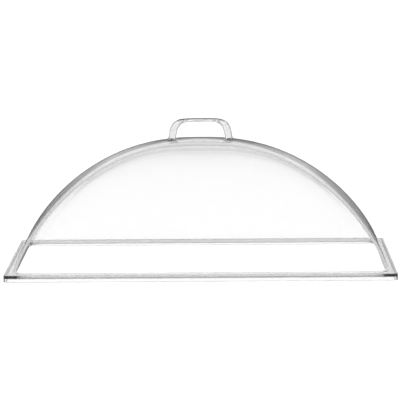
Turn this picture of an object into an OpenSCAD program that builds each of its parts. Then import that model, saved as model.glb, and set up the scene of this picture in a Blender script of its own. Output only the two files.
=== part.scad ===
// Clear buffet food cover: a pillow-shaped dome, open along one long side, on a flat flange with a
// turned-down skirt, and a bow handle held to the crown by two studs.
// Millimetres. Origin under the middle of the cover, on the plane that the skirt rests on.
// X runs along the cover, the open side faces -Y, and Z is up.

/* [Flange] */
// Overall length of the flange
flange_length = 530; // [420:1:640]
// Overall width of the flange
flange_width = 325; // [260:1:400]
// Outer corner radius of the flange
flange_corner = 8; // [5:0.5:20]
// Width of the flat ledge from the foot of the dome wall to the flange's edge
ledge_width = 10.5; // [8:0.5:16]
// Thickness of the flange
flange_thickness = 4.5; // [2:0.25:5]
// Height of the flange's top face above the resting plane
skirt_height = 9.5; // [6:0.5:16]
// Thickness of the turned-down skirt
skirt_thickness = 3; // [2:0.25:4]

/* [Dome] */
// Rise of the dome from the sill to the crown's outer face
dome_rise = 165.5; // [120:0.5:220]
// Wall thickness of the dome
wall = 3.5; // [3:0.25:5]
// Power of the arch along the length: higher is squarer
length_power = 2.2; // [1.8:0.05:3]
// Power of that arch at its feet: higher gives steeper end walls
length_foot_power = 1.3; // [1.1:0.01:2]
// Power of the arch across the width: higher is squarer
width_power = 2.25; // [1.8:0.05:3]
// Power of that arch at its feet: higher gives steeper side walls
width_foot_power = 1.85; // [1.2:0.05:2.5]
// Tightness of the upright corners at their foot: higher is tighter
foot_corner_power = 3.6; // [2.4:0.1:5]
// Tightness of the same corners where they fade out at the crown
crown_corner_power = 1.5; // [1.2:0.1:3]

/* [Open side] */
// Height of the sill, which carries the dome wall and crosses the open side
sill_height = 1.5; // [1:0.5:10]
// Distance from the foot of the open side's wall back to the start of the cut
cut_setback = 18.5; // [14:0.5:40]
// Angle of the cut above the resting plane
cut_angle = 59; // [50:1:75]

/* [Handle] */
// Overall length of the handle at its feet
handle_length = 90; // [70:1:130]
// Rise of the handle from its seat to the top of the grip bar
handle_rise = 28; // [24:0.5:45]
// Depth of the handle from front to back
handle_depth = 24; // [18:1:34]
// Thickness of each leg at its foot
leg_thickness = 10.3; // [9.6:0.1:14]
// Thickness of the grip bar at its middle
bar_thickness = 3.7; // [3:0.1:7]
// How far the legs lean inward over the whole rise
leg_lean = 4.6; // [2:0.2:8]
// Power of the bow's outline: higher gives tighter bends
bow_power = 4.5; // [3:0.25:6]
// Power of the leg and bar section: higher gives sharper edges
section_power = 5; // [3:0.5:8]

/* [Handle fixing] */
// Diameter of the stud under each leg
stud_diameter = 8; // [6:0.1:8.6]
// Radial clearance of a stud in the crown's hole and in the washer
stud_clearance = 0.2; // [0.1:0.05:0.4]
// Radial clearance of a stud in its retaining button
button_clearance = 0.05; // [0.05:0.05:0.2]
// Margin of the crown's pad round the foot of a leg
pad_margin = 0.8; // [0.4:0.1:2]
// Margin of the inner seat round its washer
seat_margin = 0.8; // [0.4:0.1:2]
// Outer diameter of the sealing washer
washer_diameter = 15; // [13:0.5:20]
// Thickness of the sealing washer
washer_thickness = 1; // [0.6:0.1:2]
// Outer diameter of the retaining button
button_diameter = 14; // [12.5:0.5:20]
// Overall height of the retaining button
button_height = 4.2; // [3.8:0.1:8]
// Height of the straight rim of the retaining button
button_rim = 2; // [1:0.1:3]
// Length of the stud inside its button
button_grip = 2.6; // [2:0.1:3]
// Free depth in the button beyond the stud's end
button_end_gap = 0.3; // [0.2:0.1:0.6]

/* [Hidden] */
$fn = 64;
clear_tint = [0.86, 0.88, 0.89, 0.35];
washer_tint = [0.93, 0.94, 0.94, 0.6];

// Surface resolution: steps of the dome from the cut down to the rear foot, along each end wall and
// between the two rear corners, then of the handle along its bow and round its section
dome_steps = 16;
end_steps = 14;
rear_steps = 34;
bow_steps = 40;
section_steps = 16;
solve_steps = 36;
// Share of each stretch of the arch that is drawn together towards the upright corners
corner_gather = 0.7;

// Half sizes at the foot of the dome wall, and the height of the sill's top
dome_half_length = flange_length / 2 - ledge_width;
dome_half_width = flange_width / 2 - ledge_width;
sill_top = skirt_height + sill_height;

// The cut's hinge line, on the sill's top, from which the dome surface is laid out as a fan of arches
fan_y = cut_setback - dome_half_width;
fan_reach = flange_length + flange_width + dome_rise;
// Directions of the upright corners as seen from the fan's centre: at the foot, and per degree of rise
corner_direction = atan2(dome_half_width - fan_y, dome_half_length);
corner_turn_ratio = 0.42;

// Where the studs stand and where the handle and washers seat
stud_x = (handle_length - leg_thickness) / 2;
foot_inner_x = handle_length / 2 - leg_thickness - pad_margin;
seat_radius = washer_diameter / 2 + seat_margin;
seat_relief = 0.25;
pad_top = dome_height(foot_inner_x, 0, 0) + seat_relief;
seat_bottom = dome_height(stud_x + seat_radius, 0, wall) - seat_relief;
wall_middle = dome_height(stud_x, 0, wall / 2);
wall_overlap = 0.2;
pad_corner = 4;
hole_margin = 1;
stud_root = 2;
washer_bottom = seat_bottom - washer_thickness;
stud_end = washer_bottom - button_grip;

// How far an arch has fallen at a distance from its middle: 0 at the crown, 1 at its foot
function fallen(distance, half, power, foot_power) =
    let (share = abs(distance) / half)
    share >= 1 ? share : 1 - pow(1 - pow(share, power), 1 / foot_power);

// Both falls joined, so that end walls and side walls blend round the upright corners
function joined_fall(x, y, inset) =
    let (
        along = fallen(x, dome_half_length - inset, length_power, length_foot_power),
        across = fallen(y, dome_half_width - inset, width_power, width_foot_power),
        low = min(1, max(along, across)),
        power = crown_corner_power + (foot_corner_power - crown_corner_power) * low
    )
    pow(pow(along, power) + pow(across, power), 1 / power);

// Height of the dome surface, inset into the wall, above the resting plane
function dome_height(x, y, inset) = sill_top + (dome_rise - inset) * (1 - joined_fall(x, y, inset));

// Distance along a ray from the fan's centre to the dome surface, by halving
function ray_length(dir, inset, near, far, steps) =
    let (
        mid = (near + far) / 2,
        outside = joined_fall(mid * dir.x, fan_y + mid * dir.y, inset) + mid * dir.z / (dome_rise - inset) > 1
    )
    steps == 0 ? mid
    : outside ? ray_length(dir, inset, near, mid, steps - 1)
    : ray_length(dir, inset, mid, far, steps - 1);

// Point of the dome surface, from the arch's rise and its turn from +X round to -X
function dome_point(turn, rise, inset) =
    let (
        dir = [cos(turn), sin(turn) * cos(rise), sin(turn) * sin(rise)],
        reach = ray_length(dir, inset, 0, fan_reach, solve_steps)
    )
    [0, fan_y, 0] + reach * dir;

// Turns along one arch, gathered towards the two upright corners
function gathered_end(share) = (1 - corner_gather) * share + corner_gather * sin(90 * share);
function gathered_middle(share) = share - corner_gather * sin(360 * share) / (2 * PI);
function arch_turns(rise) =
    let (corner = corner_direction + corner_turn_ratio * rise)
    concat(
        [for (i = [0 : end_steps - 1]) corner * gathered_end(i / end_steps)],
        [for (i = [0 : rear_steps]) corner + (180 - 2 * corner) * gathered_middle(i / rear_steps)],
        [for (i = [end_steps - 1 : -1 : 0]) 180 - corner * gathered_end(i / end_steps)]
    );

// The foot of the dome wall as a closed outline: the fan's lowest arch, and its mirror on the open side
function foot_outline(inset) =
    let (rear = [for (turn = arch_turns(0)) dome_point(turn, 0, inset)])
    concat(
        [for (p = rear) [p.x, p.y]],
        [for (i = [len(rear) - 1 : -1 : 0]) if (rear[i].y > -fan_y) [rear[i].x, -rear[i].y]]
    );

// Dome wall as a fan of arches from the cut to the foot, outer and inner surface, closed at both edges
module dome_wall() {
    rises = [for (k = [0 : dome_steps]) cut_angle * (1 - k / dome_steps)];
    count = end_steps * 2 + rear_steps - 1;
    points = [
        for (inset = [0, wall])
            for (rise = rises)
                let (turns = arch_turns(rise))
                for (j = [1 : count]) dome_point(turns[j], rise, inset)
    ];
    poles = [for (inset = [0, wall]) for (turn = [0, 180]) dome_point(turn, 0, inset)];
    side = (dome_steps + 1) * count;
    // Index of a point: surface 0 outer or 1 inner, arch k, and place j with the poles at both ends
    function at(surface, k, j) =
        j < 0 ? 2 * side + 2 * surface
        : j >= count ? 2 * side + 2 * surface + 1
        : surface * side + k * count + j;
    skin = [
        for (surface = [0, 1])
            for (k = [0 : dome_steps - 1])
                for (j = [-1 : count - 1])
                    let (
                        a = at(surface, k, j),
                        b = at(surface, k, j + 1),
                        c = at(surface, k + 1, j + 1),
                        d = at(surface, k + 1, j)
                    )
                    for (face = j < 0 ? [[a, b, c]] : j == count - 1 ? [[a, b, d]] : [[a, b, c], [a, c, d]])
                        surface == 0 ? face : [face[2], face[1], face[0]]
    ];
    edges = [
        for (k = [0, dome_steps])
            for (j = [-1 : count - 1])
                let (
                    a = at(0, k, j),
                    b = at(0, k, j + 1),
                    c = at(1, k, j + 1),
                    d = at(1, k, j)
                )
                for (face = [[a, b, c], [a, c, d]]) k > 0 ? face : [face[2], face[1], face[0]]
    ];
    polyhedron(points = concat(points, poles), faces = concat(skin, edges), convexity = 6);
}

module rounded_rectangle(length, width, corner) {
    square([length - 2 * corner, width], center = true);
    square([length, width - 2 * corner], center = true);
    for (x = [-1, 1], y = [-1, 1])
        translate([x * (length / 2 - corner), y * (width / 2 - corner)])
            circle(corner);
}

// Flat ledge, turned-down skirt and the sill that carries the dome wall
module flange() {
    linear_extrude(skirt_height)
        difference() {
            rounded_rectangle(flange_length, flange_width, flange_corner);
            rounded_rectangle(flange_length - 2 * skirt_thickness, flange_width - 2 * skirt_thickness,
                flange_corner - skirt_thickness);
        }
    translate([0, 0, skirt_height - flange_thickness])
        linear_extrude(flange_thickness)
            difference() {
                rounded_rectangle(flange_length, flange_width, flange_corner);
                polygon(foot_outline(wall));
            }
    translate([0, 0, skirt_height])
        linear_extrude(sill_height)
            difference() {
                polygon(foot_outline(0));
                polygon(foot_outline(wall));
            }
}

// Flat seats on the crown's outside and inside at one stud
module crown_seat() {
    pad_length = leg_thickness + 2 * pad_margin;
    pad_depth = handle_depth + 2 * pad_margin;
    translate([0, 0, wall_middle - wall_overlap])
        linear_extrude(pad_top - wall_middle + wall_overlap)
            rounded_rectangle(pad_length, pad_depth, pad_corner);
    translate([0, 0, seat_bottom])
        cylinder(r = seat_radius, h = wall_middle - seat_bottom + wall_overlap);
}

module at_studs() {
    for (side = [-1, 1])
        translate([side * stud_x, 0, 0])
            children();
}

module dome_shell() {
    color(clear_tint)
        difference() {
            union() {
                flange();
                translate([0, 0, sill_top])
                    dome_wall();
                at_studs()
                    crown_seat();
            }
            at_studs()
                translate([0, 0, seat_bottom - hole_margin])
                    cylinder(d = stud_diameter + 2 * stud_clearance, h = pad_top - seat_bottom + 2 * hole_margin);
        }
}

// Point of a bow-shaped outline at an angle from its right foot, leaning inward as it rises
function bow_point(half, rise, angle) =
    let (
        reach = pow(pow(abs(cos(angle)), bow_power) + pow(abs(sin(angle)), bow_power), -1 / bow_power),
        climb = reach * sin(angle)
    )
    [cos(angle) * reach * (half - leg_lean * climb), rise * climb];

// Point of a rounded section between the bow's outer and inner outline
function section_point(outer, inner, angle) =
    let (
        across = sign(cos(angle)) * pow(abs(cos(angle)), 2 / section_power),
        deep = sign(sin(angle)) * pow(abs(sin(angle)), 2 / section_power),
        flat = (outer + inner) / 2 + across * (outer - inner) / 2
    )
    [flat.x, deep * handle_depth / 2, flat.y];

module handle_bow() {
    points = [
        for (i = [0 : bow_steps])
            let (
                angle = 180 * i / bow_steps,
                outer = bow_point(handle_length / 2, handle_rise, angle),
                inner = bow_point(handle_length / 2 - leg_thickness, handle_rise - bar_thickness, angle)
            )
            for (j = [0 : section_steps - 1]) section_point(outer, inner, 360 * j / section_steps)
    ];
    skin = [
        for (i = [0 : bow_steps - 1])
            for (j = [0 : section_steps - 1])
                let (
                    next = (j + 1) % section_steps,
                    a = i * section_steps + j,
                    b = i * section_steps + next,
                    c = (i + 1) * section_steps + next,
                    d = (i + 1) * section_steps + j
                )
                for (face = [[a, c, b], [a, d, c]]) face
    ];
    first = [for (j = [0 : section_steps - 1]) j];
    last = [for (j = [section_steps - 1 : -1 : 0]) bow_steps * section_steps + j];
    polyhedron(points = points, faces = concat(skin, [first, last]), convexity = 4);
}

module handle() {
    color(clear_tint) {
        translate([0, 0, pad_top])
            handle_bow();
        at_studs()
            translate([0, 0, stud_end])
                cylinder(d = stud_diameter, h = pad_top + stud_root - stud_end);
    }
}

module sealing_washers() {
    color(washer_tint)
        at_studs()
            translate([0, 0, washer_bottom])
                difference() {
                    cylinder(d = washer_diameter, h = washer_thickness);
                    translate([0, 0, -hole_margin])
                        cylinder(d = stud_diameter + 2 * stud_clearance, h = washer_thickness + 2 * hole_margin);
                }
}

// Button with a straight rim and a domed face, on a blind bore for the stud's end
module retaining_buttons() {
    dome_depth = button_height - button_rim;
    dome_radius = (pow(button_diameter / 2, 2) + pow(dome_depth, 2)) / (2 * dome_depth);
    bore_depth = button_grip + button_end_gap;
    color(clear_tint)
        at_studs()
            translate([0, 0, washer_bottom - button_height])
                difference() {
                    intersection() {
                        cylinder(d = button_diameter, h = button_height);
                        translate([0, 0, dome_radius])
                            sphere(dome_radius);
                    }
                    translate([0, 0, button_height - bore_depth])
                        cylinder(d = stud_diameter + 2 * button_clearance, h = bore_depth + hole_margin);
                }
}

dome_shell();
handle();
sealing_washers();
retaining_buttons();
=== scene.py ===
import math

import bmesh
import bpy
import numpy as np
from mathutils import Matrix, Vector


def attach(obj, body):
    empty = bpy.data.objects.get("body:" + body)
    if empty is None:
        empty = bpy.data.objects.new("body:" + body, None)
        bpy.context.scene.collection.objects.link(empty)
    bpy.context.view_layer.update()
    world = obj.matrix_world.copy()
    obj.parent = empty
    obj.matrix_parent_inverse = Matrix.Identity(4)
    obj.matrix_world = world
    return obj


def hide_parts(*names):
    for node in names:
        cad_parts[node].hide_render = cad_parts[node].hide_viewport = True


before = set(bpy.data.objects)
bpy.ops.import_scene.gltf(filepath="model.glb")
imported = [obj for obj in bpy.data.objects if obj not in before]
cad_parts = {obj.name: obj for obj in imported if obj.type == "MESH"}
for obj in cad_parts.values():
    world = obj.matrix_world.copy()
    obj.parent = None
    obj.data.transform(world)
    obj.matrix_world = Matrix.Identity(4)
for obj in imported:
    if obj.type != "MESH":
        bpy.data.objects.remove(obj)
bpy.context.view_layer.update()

MM = 0.001
TINY = 1e-9
SIDES = (-1, 1)

# Sizes in millimetres, the same as in the part's source
FLANGE_LENGTH = 530.0
FLANGE_WIDTH = 325.0
FLANGE_CORNER = 8.0
LEDGE_WIDTH = 10.5
FLANGE_THICKNESS = 4.5
SKIRT_HEIGHT = 9.5
SKIRT_THICKNESS = 3.0
DOME_RISE = 165.5
WALL = 3.5
LENGTH_POWER = 2.2
LENGTH_FOOT_POWER = 1.3
WIDTH_POWER = 2.25
WIDTH_FOOT_POWER = 1.85
FOOT_CORNER_POWER = 3.6
CROWN_CORNER_POWER = 1.5
SILL_HEIGHT = 1.5
CUT_SETBACK = 18.5
CUT_ANGLE = 59.0
HANDLE_LENGTH = 90.0
HANDLE_RISE = 28.0
HANDLE_DEPTH = 24.0
LEG_THICKNESS = 10.3
BAR_THICKNESS = 3.7
LEG_LEAN = 4.6
BOW_POWER = 4.5
SECTION_POWER = 5.0
STUD_DIAMETER = 8.0
STUD_CLEARANCE = 0.2
BUTTON_CLEARANCE = 0.05
PAD_MARGIN = 0.8
PAD_CORNER = 4.0
SEAT_MARGIN = 0.8
SEAT_RELIEF = 0.25
WASHER_DIAMETER = 15.0
WASHER_THICKNESS = 1.0
BUTTON_DIAMETER = 14.0
BUTTON_HEIGHT = 4.2
BUTTON_RIM = 2.0
BUTTON_GRIP = 2.6
BUTTON_END_GAP = 0.3

# Moulding radii and softened edges, which only the scene has
LIP_RADIUS = 0.9
SILL_FILLET = 0.5
FLANGE_EDGE = 1.0
SKIRT_EDGE = 0.7
LEAST_CORNER = 0.5
WASHER_EDGE = 0.2
BUTTON_EDGE = 0.3
BUTTON_BORE_EDGE = 0.2

# The hair's breadth of air that keeps touching clear faces apart, the overlap of solids that are
# joined, and how far a tool or a stud reaches past the face it crosses
AIR = 0.06
OVERLAP = 0.2
REACH = 2.0

# The sill's own points start this far in front of the wall's ends, and its top is rounded off
# over this run from them
SILL_START = 3.0
SILL_RUN = 8.0

# Mesh resolution, and where the points of the dome gather
DOME_STEPS = 84
END_STEPS = 60
REAR_STEPS = 150
ROUND_STEPS = 4
BOW_STEPS = 160
SECTION_STEPS = 48
TURNED_STEPS = 96
STUD_STEPS = 64
PAD_STEPS = 8
BUTTON_FACE_POINTS = 20
SOLVE_STEPS = 46
CORNER_GATHER = 0.7
CORNER_TURN_RATIO = 0.42
LIP_REACH_RATIO = 0.8

# Edges that turn by more than these angles stay sharp, in degrees
MOULDING_SHARP = 32
WASHER_SHARP = 50
BUTTON_SHARP = 40

# Clear materials. The painted edge shade darkens the colour from faces that look at the viewer (0) to
# faces seen edge-on (1), in place of the dark surroundings those faces would mirror.
PLASTIC_IOR = 1.585
SILICONE_IOR = 1.41
PLASTIC_CLEARNESS = 0.965
SHELL_DENSITY = 180.0
HANDLE_DENSITY = 45.0
DEPTH_GREY = 0.8
SHELL_EDGE_SHADE = ((0.0, 0.98), (0.22, 0.96), (0.3, 0.92), (0.36, 0.87), (0.41, 0.8), (0.47, 0.64),
              (0.53, 0.54), (0.62, 0.66), (0.75, 0.92), (0.85, 1.0), (1.0, 1.0))
HANDLE_EDGE_SHADE = ((0.0, 0.91), (0.5, 0.9), (0.7, 0.7), (0.8, 0.35), (0.88, 0.1), (1.0, 0.1))
WIPE_SCALE = 18.0
WIPE_DETAIL = 4.0
WIPE_SPAN = (0.45, 0.75)
WIPE_ROUGHNESS = (0.0, 0.05)
GRAIN_SPAN = (0.3, 0.7)

# Floor, in millimetres
FLOOR_REACH = 40000.0
FLOOR_DROP = 0.05
FLOOR_GREY = 0.93
FLOOR_ROUGHNESS = 0.9

# Light by the height of its direction, from -1 straight down to 1 straight up. The camera and the
# floor see one room. The clear faces mirror another, dark near the horizon and darkest in front and
# behind. The sideways share of a direction tells its front from its ends.
SOFTBOX = 2.0
SEEN_LEVELS = ((-1.0, 0.9), (0.08, 0.9), (0.15, 0.18), (0.55, 0.18), (0.7, SOFTBOX), (1.0, SOFTBOX))
FRONT_LEVELS = ((-1.0, 1.0), (-0.3, 0.9), (-0.2, 0.4), (-0.14, 0.18), (0.11, 0.2), (0.14, 0.6),
                (0.2, 0.62), (0.3, 1.1), (0.48, 1.1), (0.55, 0.6), (0.7, SOFTBOX), (1.0, SOFTBOX))
END_LEVELS = ((-1.0, 1.0), (-0.3, 0.9), (-0.2, 0.3), (-0.1, 0.2), (-0.04, 0.25), (0.0, 0.4),
              (0.04, 0.75), (0.14, 1.1), (0.55, 1.1), (0.7, SOFTBOX), (1.0, SOFTBOX))
END_SPAN = (0.06, 0.15)
FULL_SPAN = (-1.0, 1.0)
UNIT_SPAN = (0.0, 1.0)

# The camera stands where the photograph's perspective puts it, in metres and radians
CAMERA_PLACE = (0.03158, -3.50447, 0.56284)
CAMERA_YAW = -0.00940
CAMERA_PITCH = 0.13447
CAMERA_ROLL = -0.00765
FOCAL_PIXELS = 2526.4
IMAGE_PIXELS = 400
SENSOR = 36.0
CLIP_END = 200.0
CLEAR_BOUNCES = 32
GLOSSY_BOUNCES = 16

HALF_LENGTH = FLANGE_LENGTH / 2 - LEDGE_WIDTH
HALF_WIDTH = FLANGE_WIDTH / 2 - LEDGE_WIDTH
SILL_TOP = SKIRT_HEIGHT + SILL_HEIGHT
FAN_Y = CUT_SETBACK - HALF_WIDTH
STUD_X = (HANDLE_LENGTH - LEG_THICKNESS) / 2
SEAT_RADIUS = WASHER_DIAMETER / 2 + SEAT_MARGIN


def fallen(distance, half, power, foot_power):
    """How far the dome has come down at a distance from its middle: 0 at the crown, 1 at the foot."""
    share = np.abs(distance) / half
    inside = np.minimum(share, 1.0)
    return np.where(share >= 1, share, 1 - np.power(1 - np.power(inside, power), 1 / foot_power))


def joined_fall(x, y, inset):
    along = fallen(x, HALF_LENGTH - inset, LENGTH_POWER, LENGTH_FOOT_POWER)
    across = fallen(y, HALF_WIDTH - inset, WIDTH_POWER, WIDTH_FOOT_POWER)
    low = np.minimum(1.0, np.maximum(along, across))
    power = CROWN_CORNER_POWER + (FOOT_CORNER_POWER - CROWN_CORNER_POWER) * low
    return np.power(np.power(along, power) + np.power(across, power), 1 / power)


def dome_height(x, y, inset):
    fall = joined_fall(np.array([float(x)]), np.array([float(y)]), inset)
    return float(SILL_TOP + (DOME_RISE - inset) * (1 - fall[0]))


PAD_TOP = dome_height(HANDLE_LENGTH / 2 - LEG_THICKNESS - PAD_MARGIN, 0, 0) + SEAT_RELIEF
SEAT_BOTTOM = dome_height(STUD_X + SEAT_RADIUS, 0, WALL) - SEAT_RELIEF
WALL_MIDDLE = dome_height(STUD_X, 0, WALL / 2)
WASHER_BOTTOM = SEAT_BOTTOM - WASHER_THICKNESS
STUD_END = WASHER_BOTTOM - BUTTON_GRIP


def dome_arch(turns, rise, inset):
    """Points of one arch of the dome, from the turns along it and its rise, both in degrees."""
    turn = np.radians(turns)
    lift = math.radians(rise)
    direction = np.stack([np.cos(turn), np.sin(turn) * math.cos(lift), np.sin(turn) * math.sin(lift)],
                         axis=1)
    near = np.zeros(len(turn))
    far = np.full(len(turn), FLANGE_LENGTH + FLANGE_WIDTH + DOME_RISE)
    for _ in range(SOLVE_STEPS):
        mid = (near + far) / 2
        fall = joined_fall(mid * direction[:, 0], FAN_Y + mid * direction[:, 1], inset)
        outside = fall + mid * direction[:, 2] / (DOME_RISE - inset) > 1
        far = np.where(outside, mid, far)
        near = np.where(outside, near, mid)
    return np.array([0.0, FAN_Y, SILL_TOP]) + direction * ((near + far) / 2)[:, None]


def arch_turns(rise):
    """Turns along one arch in degrees, gathered at its two corners."""
    corner = math.degrees(math.atan2(HALF_WIDTH - FAN_Y, HALF_LENGTH)) + CORNER_TURN_RATIO * rise
    share = np.arange(END_STEPS) / END_STEPS
    end = corner * ((1 - CORNER_GATHER) * share + CORNER_GATHER * np.sin(np.pi / 2 * share))
    share = np.arange(REAR_STEPS + 1) / REAR_STEPS
    gather = CORNER_GATHER * np.sin(2 * np.pi * share) / (2 * np.pi)
    rear = corner + (180 - 2 * corner) * (share - gather)
    return np.concatenate([end, rear, 180 - end[::-1]])


def rounded_edge(radius):
    """Quarter round as (along, down) pairs, from the start of the edge to its end."""
    angles = [math.pi / 2 * i / ROUND_STEPS for i in range(ROUND_STEPS + 1)]
    return [(radius * math.sin(a), radius * (1 - math.cos(a))) for a in angles]


def outline_normals(loop):
    ahead = np.roll(loop, -1, axis=0) - np.roll(loop, 1, axis=0)
    ahead /= np.linalg.norm(ahead, axis=1)[:, None]
    return np.stack([ahead[:, 1], -ahead[:, 0]], axis=1)


def flange_outline(angles, inset):
    """Points of the flange's rounded outline, drawn in by an inset, at angles about its middle."""
    length = FLANGE_LENGTH / 2 - inset
    width = FLANGE_WIDTH / 2 - inset
    corner = max(FLANGE_CORNER - inset, LEAST_CORNER)
    c, s = np.abs(np.cos(angles)), np.abs(np.sin(angles))
    reach = np.minimum(length / np.maximum(c, TINY), width / np.maximum(s, TINY))
    x, y = reach * c, reach * s
    cx, cy = length - corner, width - corner
    in_corner = (x > cx) & (y > cy)
    b = c * cx + s * cy
    round_reach = b + np.sqrt(np.maximum(b * b - (cx * cx + cy * cy - corner * corner), 0))
    reach = np.where(in_corner, round_reach, reach)
    return np.stack([reach * np.cos(angles), reach * np.sin(angles)], axis=1)


def link(name, data):
    obj = bpy.data.objects.new(name, data)
    bpy.context.scene.collection.objects.link(obj)
    return obj


class Skin:
    """Vertices and faces of one closed skin, in millimetres. Trimmed faces take the second material."""

    def __init__(self):
        self.points = []
        self.faces = []
        self.trimmed = set()

    def add(self, points):
        start = len(self.points)
        self.points.extend(tuple(float(v) for v in p) for p in points)
        return list(range(start, start + len(points)))

    def bridge(self, a, b, closed, trimmed=False):
        count = len(a) if closed else len(a) - 1
        for i in range(count):
            j = (i + 1) % len(a)
            corners = []
            for index in (a[i], a[j], b[j], b[i]):
                if index not in corners:
                    corners.append(index)
            if len(corners) > 2:
                if trimmed:
                    self.trimmed.add(len(self.faces))
                self.faces.append(corners)

    def object(self, name):
        mesh = bpy.data.meshes.new(name)
        mesh.from_pydata([Vector(p) * MM for p in self.points], [], self.faces)
        for face in self.trimmed:
            mesh.polygons[face].material_index = 1
        bm = bmesh.new()
        bm.from_mesh(mesh)
        bmesh.ops.recalc_face_normals(bm, faces=bm.faces)
        bm.to_mesh(mesh)
        bm.free()
        return link(name, mesh)


def add_flange(skin, outer, inner):
    """The ledge and the skirt, from the outer loop at the wall's foot round to the inner one."""
    outer_xy = np.array([skin.points[i][:2] for i in outer])
    inner_xy = np.array([skin.points[i][:2] for i in inner])
    angles = np.arctan2(outer_xy[:, 1], outer_xy[:, 0])
    outer_normals = outline_normals(outer_xy)
    inner_normals = outline_normals(inner_xy)
    under = SKIRT_HEIGHT - FLANGE_THICKNESS
    loops = [outer]

    def ring(xy, z):
        loops.append(skin.add([(x, y, z) for x, y in xy]))

    for along, down in rounded_edge(SILL_FILLET):
        ring(outer_xy + outer_normals * down, SKIRT_HEIGHT + SILL_FILLET - along)
    for along, down in rounded_edge(FLANGE_EDGE):
        ring(flange_outline(angles, FLANGE_EDGE - along), SKIRT_HEIGHT - down)
    for along, down in rounded_edge(SKIRT_EDGE):
        ring(flange_outline(angles, down), SKIRT_EDGE - along)
    for along, down in rounded_edge(SKIRT_EDGE):
        ring(flange_outline(angles, SKIRT_THICKNESS - SKIRT_EDGE + along), down)
    for along, down in rounded_edge(SKIRT_EDGE):
        ring(flange_outline(angles, SKIRT_THICKNESS + down), under - SKIRT_EDGE + along)
    for along, down in rounded_edge(SKIRT_EDGE):
        ring(inner_xy + inner_normals * (SKIRT_EDGE - along), under + down)
    loops.append(inner)
    for a, b in zip(loops, loops[1:]):
        skin.bridge(a, b, True)


def shell_skin():
    skin = Skin()
    lip = rounded_edge(LIP_RADIUS)
    # Degrees of rise for one millimetre along the lip
    lip_turn = math.degrees(1 / (LIP_REACH_RATIO * HALF_WIDTH))
    # The wall as one sheet: up the outside, over the rounded lip at the cut and down the inside.
    # The arches of one inset share their two end points.
    top = CUT_ANGLE - LIP_RADIUS * lip_turn
    climb = [top * k / DOME_STEPS for k in range(DOME_STEPS)]
    over = [(top + along * lip_turn, down) for along, down in lip]
    across = over + [(rise, WALL - down) for rise, down in reversed(over)]
    rows = [(rise, 0.0) for rise in climb] + across + [(rise, WALL) for rise in reversed(climb)]
    wall_ends = {}
    grid = []
    for rise, inset in rows:
        points = dome_arch(arch_turns(rise), rise, inset)
        if inset not in wall_ends:
            wall_ends[inset] = skin.add([points[0], points[-1]])
        first, last = wall_ends[inset]
        grid.append([first] + skin.add(points[1:-1]) + [last])
    for k in range(len(grid) - 1):
        in_lip = DOME_STEPS <= k < DOME_STEPS + len(across) - 1
        skin.bridge(grid[k], grid[k + 1], False, in_lip)
    # The sill across the open side: its places mirror those of the rear foot, and its top is
    # rounded off over a short run from the wall's ends
    rear = dome_arch(arch_turns(0), 0, 0.0)
    front = [j for j in reversed(range(len(rear))) if rear[j][1] > SILL_START - FAN_Y]
    drops = [LIP_RADIUS - along for along, _ in lip]
    drops += drops[::-1]
    sill = []
    for (_, inset), drop in zip(across, drops):
        points = []
        for x, y, z in dome_arch(arch_turns(0), 0, inset)[front]:
            run = min(1.0, max(0.0, (y + FAN_Y) / SILL_RUN))
            points.append((x, -y, z - drop * run * run * (3 - 2 * run)))
        first, last = wall_ends[inset]
        sill.append([last] + skin.add(points) + [first])
    for a, b in zip(sill, sill[1:]):
        skin.bridge(a, b, False, True)
    add_flange(skin, grid[0] + sill[0][1:-1], grid[-1] + sill[-1][1:-1])
    return skin


def prism(name, outline, low, high):
    skin = Skin()
    bottom = skin.add([(x, y, low) for x, y in outline])
    top = skin.add([(x, y, high) for x, y in outline])
    skin.bridge(bottom, top, True)
    skin.faces += [list(reversed(bottom)), top]
    return skin.object(name)


def circle(x, radius, steps):
    angles = [2 * math.pi * i / steps for i in range(steps)]
    return [(x + radius * math.cos(a), radius * math.sin(a)) for a in angles]


def rounded_rectangle(x, length, width, corner, steps):
    points = []
    for quarter, (sx, sy) in enumerate(((1, 1), (-1, 1), (-1, -1), (1, -1))):
        for i in range(steps + 1):
            a = math.pi / 2 * (quarter + i / steps)
            points.append((x + sx * (length / 2 - corner) + corner * math.cos(a),
                           sy * (width / 2 - corner) + corner * math.sin(a)))
    return points


def combine(obj, tool, operation):
    change = obj.modifiers.new("combine", "BOOLEAN")
    change.operation = operation
    change.solver = "EXACT"
    change.object = tool
    bpy.context.view_layer.update()
    graph = bpy.context.evaluated_depsgraph_get()
    result = bpy.data.meshes.new_from_object(obj.evaluated_get(graph))
    obj.modifiers.clear()
    old = obj.data
    obj.data = result
    bpy.data.meshes.remove(old)
    mesh = tool.data
    bpy.data.objects.remove(tool)
    bpy.data.meshes.remove(mesh)


def smooth(obj, degrees):
    """Smooth shading that leaves flat faces flat and keeps edges sharper than an angle."""
    obj.data.polygons.foreach_set("use_smooth", [True] * len(obj.data.polygons))
    obj.data.set_sharp_from_angle(angle=math.radians(degrees))
    weigh = obj.modifiers.new("weigh", "WEIGHTED_NORMAL")
    weigh.mode = "FACE_AREA"
    weigh.keep_sharp = True


def bow_point(half, rise, angle):
    c, s = math.cos(angle), math.sin(angle)
    reach = (abs(c) ** BOW_POWER + abs(s) ** BOW_POWER) ** (-1 / BOW_POWER)
    climb = reach * s
    return np.array([c * reach * (half - LEG_LEAN * climb), rise * climb])


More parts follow.
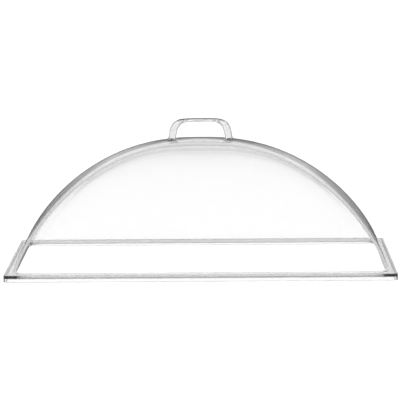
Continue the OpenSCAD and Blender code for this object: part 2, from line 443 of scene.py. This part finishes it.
def bow_skin():
    skin = Skin()
    half, rise = HANDLE_LENGTH / 2, HANDLE_RISE - AIR
    rings = []
    for i in range(BOW_STEPS + 1):
        angle = math.pi * i / BOW_STEPS
        outer = bow_point(half, rise, angle)
        inner = bow_point(half - LEG_THICKNESS, rise - BAR_THICKNESS, angle)
        points = []
        for j in range(SECTION_STEPS):
            turn = 2 * math.pi * j / SECTION_STEPS
            c, s = math.cos(turn), math.sin(turn)
            across = math.copysign(abs(c) ** (2 / SECTION_POWER), c)
            deep = math.copysign(abs(s) ** (2 / SECTION_POWER), s)
            flat = (outer + inner) / 2 + across * (outer - inner) / 2
            points.append((flat[0], deep * HANDLE_DEPTH / 2, PAD_TOP + AIR + flat[1]))
        rings.append(skin.add(points))
    for a, b in zip(rings, rings[1:]):
        skin.bridge(a, b, True)
    skin.faces += [list(rings[0]), list(reversed(rings[-1]))]
    return skin


def turned(skin, x, profile):
    """One closed turned solid about an upright axis at x, from a closed profile of (radius, z)."""
    rings = []
    for radius, z in profile:
        if radius < TINY:
            rings.append(skin.add([(x, 0, z)]) * TURNED_STEPS)
        else:
            rings.append(skin.add([(px, py, z) for px, py in circle(x, radius, TURNED_STEPS)]))
    for a, b in zip(rings, rings[1:]):
        skin.bridge(a, b, True)
    if profile[0][0] > TINY:
        skin.bridge(rings[-1], rings[0], True)


def turned_pair(name, profile):
    """The same turned solid about both studs, as one object."""
    skin = Skin()
    for side in SIDES:
        turned(skin, side * STUD_X, profile)
    return skin.object(name)


def washer_profile():
    bore, rim = STUD_DIAMETER / 2 + STUD_CLEARANCE, WASHER_DIAMETER / 2
    low, high = WASHER_BOTTOM + AIR / 2, SEAT_BOTTOM
    soft = WASHER_EDGE
    return [(bore, low + soft), (bore + soft, low), (rim - soft, low), (rim, low + soft),
            (rim, high - soft), (rim - soft, high), (bore + soft, high), (bore, high - soft)]


def button_profile():
    bore, rim = STUD_DIAMETER / 2 + BUTTON_CLEARANCE, BUTTON_DIAMETER / 2
    low, high = WASHER_BOTTOM - BUTTON_HEIGHT, WASHER_BOTTOM - AIR / 2
    bottom = STUD_END - BUTTON_END_GAP
    depth = BUTTON_HEIGHT - BUTTON_RIM
    ball = (rim ** 2 + depth ** 2) / (2 * depth)
    face = [(r, low + ball - math.sqrt(ball * ball - r * r))
            for r in np.linspace(0, rim, BUTTON_FACE_POINTS)]
    return face + [(rim, high - BUTTON_EDGE), (rim - BUTTON_EDGE, high),
                   (bore + BUTTON_BORE_EDGE, high), (bore, high - BUTTON_BORE_EDGE),
                   (bore, bottom), (0, bottom)]


def grey(level):
    return (level, level, level, 1)


def add(tree, kind, **values):
    node = tree.nodes.new(kind)
    for key, value in values.items():
        setattr(node, key, value)
    return node


def set_inputs(node, values):
    for name, value in values.items():
        node.inputs[name].default_value = value


def tree_of(name):
    material = bpy.data.materials.new(name)
    material.use_nodes = True
    tree = material.node_tree
    tree.nodes.clear()
    out = add(tree, "ShaderNodeOutputMaterial")
    shader = add(tree, "ShaderNodeBsdfPrincipled")
    tree.links.new(shader.outputs["BSDF"], out.inputs["Surface"])
    return material, tree, shader, out


def noise(tree, scale, detail):
    node = add(tree, "ShaderNodeTexNoise")
    set_inputs(node, {"Scale": scale, "Detail": detail})
    coords = add(tree, "ShaderNodeTexCoord")
    tree.links.new(coords.outputs["Object"], node.inputs["Vector"])
    return node.outputs["Fac"]


def mapped(tree, value, span, onto):
    """A value taken from one (low, high) range to another."""
    node = add(tree, "ShaderNodeMapRange")
    set_inputs(node, {"From Min": span[0], "From Max": span[1], "To Min": onto[0], "To Max": onto[1]})
    tree.links.new(value, node.inputs["Value"])
    return node.outputs["Result"]


def graded(tree, value, levels):
    """A grey for a value, from (place, level) stops."""
    node = add(tree, "ShaderNodeValToRGB")
    stops = node.color_ramp.elements
    stops[0].position, stops[1].position = levels[0][0], levels[-1][0]
    for place, _ in levels[1:-1]:
        stops.new(place)
    for stop, (_, level) in zip(stops, levels):
        stop.color = grey(level)
    tree.links.new(value, node.inputs["Fac"])
    return node.outputs["Color"]


def absorb(tree, out, density):
    depth = add(tree, "ShaderNodeVolumeAbsorption")
    set_inputs(depth, {"Color": grey(DEPTH_GREY), "Density": density})
    tree.links.new(depth.outputs["Volume"], out.inputs["Volume"])


def clear_plastic(name, density, edge_shade):
    """Polished clear plastic, with faint wipe marks and painted shade that darkens its colour on faces
    seen edge-on.
    """
    material, tree, shader, out = tree_of(name)
    set_inputs(shader, {"Transmission Weight": PLASTIC_CLEARNESS, "IOR": PLASTIC_IOR})
    facing = add(tree, "ShaderNodeLayerWeight").outputs["Facing"]
    # Painted shade: the colour darkens by how edge-on a face is seen, standing in for the dark
    # surroundings it would mirror
    tree.links.new(graded(tree, facing, edge_shade), shader.inputs["Base Color"])
    wipes = noise(tree, WIPE_SCALE, WIPE_DETAIL)
    tree.links.new(mapped(tree, wipes, WIPE_SPAN, WIPE_ROUGHNESS), shader.inputs["Roughness"])
    absorb(tree, out, density)
    return material


def satin_material(name, clearness, ior, scale, detail, greys, roughness, density=None):
    """Half-clear material with a fine grain in its grey and its roughness."""
    material, tree, shader, out = tree_of(name)
    set_inputs(shader, {"Transmission Weight": clearness, "IOR": ior})
    grain = noise(tree, scale, detail)
    levels = list(zip(GRAIN_SPAN, greys))
    tree.links.new(graded(tree, grain, levels), shader.inputs["Base Color"])
    tree.links.new(mapped(tree, grain, GRAIN_SPAN, roughness), shader.inputs["Roughness"])
    if density is not None:
        absorb(tree, out, density)
    return material


def by_height(tree, height, levels):
    return graded(tree, height, [((place + 1) / 2, level) for place, level in levels])


def mixed(tree, share, a, b):
    node = add(tree, "ShaderNodeMix", data_type="RGBA")
    tree.links.new(share, node.inputs["Factor"])
    tree.links.new(a, node.inputs["A"])
    tree.links.new(b, node.inputs["B"])
    return next(o for o in node.outputs if o.type == "RGBA")


def studio():
    world = bpy.data.worlds.new("studio")
    world.use_nodes = True
    tree = world.node_tree
    tree.nodes.clear()
    out = add(tree, "ShaderNodeOutputWorld")
    sky = add(tree, "ShaderNodeBackground")
    set_inputs(sky, {"Strength": 1.0})
    tree.links.new(sky.outputs["Background"], out.inputs["Surface"])
    coords = add(tree, "ShaderNodeTexCoord")
    split = add(tree, "ShaderNodeSeparateXYZ")
    tree.links.new(coords.outputs["Generated"], split.inputs["Vector"])
    height = mapped(tree, split.outputs["Z"], FULL_SPAN, UNIT_SPAN)
    sideways = add(tree, "ShaderNodeMath", operation="ABSOLUTE")
    tree.links.new(split.outputs["X"], sideways.inputs[0])
    at_end = mapped(tree, sideways.outputs["Value"], END_SPAN, UNIT_SPAN)
    mirrored = mixed(tree, at_end, by_height(tree, height, FRONT_LEVELS),
                     by_height(tree, height, END_LEVELS))
    glossy = add(tree, "ShaderNodeLightPath").outputs["Is Glossy Ray"]
    room = mixed(tree, glossy, by_height(tree, height, SEEN_LEVELS), mirrored)
    tree.links.new(room, sky.inputs["Color"])
    return world


def dress(obj, node):
    obj.visible_shadow = False
    obj.visible_diffuse = False
    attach(obj, "root")
    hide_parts(node)


# Both clear plastics carry painted shade that darkens their colour on edge-on faces
plastic = clear_plastic("clear_polycarbonate", SHELL_DENSITY, SHELL_EDGE_SHADE)
clearer = clear_plastic("clearer_polycarbonate", HANDLE_DENSITY, HANDLE_EDGE_SHADE)
trimmed = satin_material("trimmed_polycarbonate", clearness=0.45, ior=PLASTIC_IOR, scale=900.0,
                         detail=2.0, greys=(0.86, 0.94), roughness=(0.25, 0.45),
                         density=SHELL_DENSITY)
silicone = satin_material("clear_silicone", clearness=0.7, ior=SILICONE_IOR, scale=400.0, detail=3.0,
                          greys=(0.84, 0.94), roughness=(0.3, 0.5))

# The shell, with its crown pads, seats and stud holes
shell = shell_skin().object("shell")
shell.data.materials.append(plastic)
shell.data.materials.append(trimmed)
for side in SIDES:
    x = side * STUD_X
    pad = rounded_rectangle(x, LEG_THICKNESS + 2 * PAD_MARGIN, HANDLE_DEPTH + 2 * PAD_MARGIN, PAD_CORNER,
                            PAD_STEPS)
    seat = circle(x, SEAT_RADIUS, TURNED_STEPS)
    hole = circle(x, STUD_DIAMETER / 2 + STUD_CLEARANCE, STUD_STEPS)
    combine(shell, prism("pad", pad, WALL_MIDDLE - OVERLAP, PAD_TOP), "UNION")
    combine(shell, prism("seat", seat, SEAT_BOTTOM + AIR, WALL_MIDDLE + OVERLAP), "UNION")
    combine(shell, prism("hole", hole, SEAT_BOTTOM - REACH, PAD_TOP + REACH), "DIFFERENCE")
smooth(shell, MOULDING_SHARP)
dress(shell, "dome_shell")

# The handle with its studs
grip = bow_skin().object("grip")
grip.data.materials.append(clearer)
for side in SIDES:
    stud = circle(side * STUD_X, STUD_DIAMETER / 2, STUD_STEPS)
    combine(grip, prism("stud", stud, STUD_END, PAD_TOP + REACH), "UNION")
smooth(grip, MOULDING_SHARP)
dress(grip, "handle")

# Washers and buttons inside the crown
washers = turned_pair("washers", washer_profile())
washers.data.materials.append(silicone)
smooth(washers, WASHER_SHARP)
dress(washers, "sealing_washers")
buttons = turned_pair("buttons", button_profile())
buttons.data.materials.append(clearer)
smooth(buttons, BUTTON_SHARP)
dress(buttons, "retaining_buttons")

# Floor, light and camera
floor_skin = Skin()
floor_skin.faces.append(floor_skin.add([(x * FLOOR_REACH, y * FLOOR_REACH, -FLOOR_DROP)
                                        for x, y in ((-1, -1), (1, -1), (1, 1), (-1, 1))]))
floor = floor_skin.object("floor")
floor_material, _, floor_shader, _ = tree_of("pale_floor")
set_inputs(floor_shader, {"Base Color": grey(FLOOR_GREY), "Roughness": FLOOR_ROUGHNESS,
                          "Specular IOR Level": 0.0})
floor.data.materials.append(floor_material)
floor.visible_glossy = False

scene = bpy.context.scene
scene.world = studio()

lens = bpy.data.cameras.new("camera")
lens.sensor_width = SENSOR
lens.lens = FOCAL_PIXELS / IMAGE_PIXELS * SENSOR
lens.clip_end = CLIP_END
camera = link("camera", lens)
forward = Vector((math.sin(CAMERA_YAW) * math.cos(CAMERA_PITCH),
                  math.cos(CAMERA_YAW) * math.cos(CAMERA_PITCH), -math.sin(CAMERA_PITCH)))
right = Vector((math.cos(CAMERA_YAW), -math.sin(CAMERA_YAW), 0))
up = right.cross(forward)
right, up = (math.cos(CAMERA_ROLL) * right + math.sin(CAMERA_ROLL) * up,
             math.cos(CAMERA_ROLL) * up - math.sin(CAMERA_ROLL) * right)
turn = Matrix((right, up, -forward)).transposed().to_4x4()
camera.matrix_world = Matrix.Translation(CAMERA_PLACE) @ turn
scene.camera = camera

scene.view_settings.view_transform = "Standard"
scene.cycles.use_denoising = True
scene.cycles.max_bounces = CLEAR_BOUNCES
scene.cycles.transmission_bounces = CLEAR_BOUNCES
scene.cycles.glossy_bounces = GLOSSY_BOUNCES
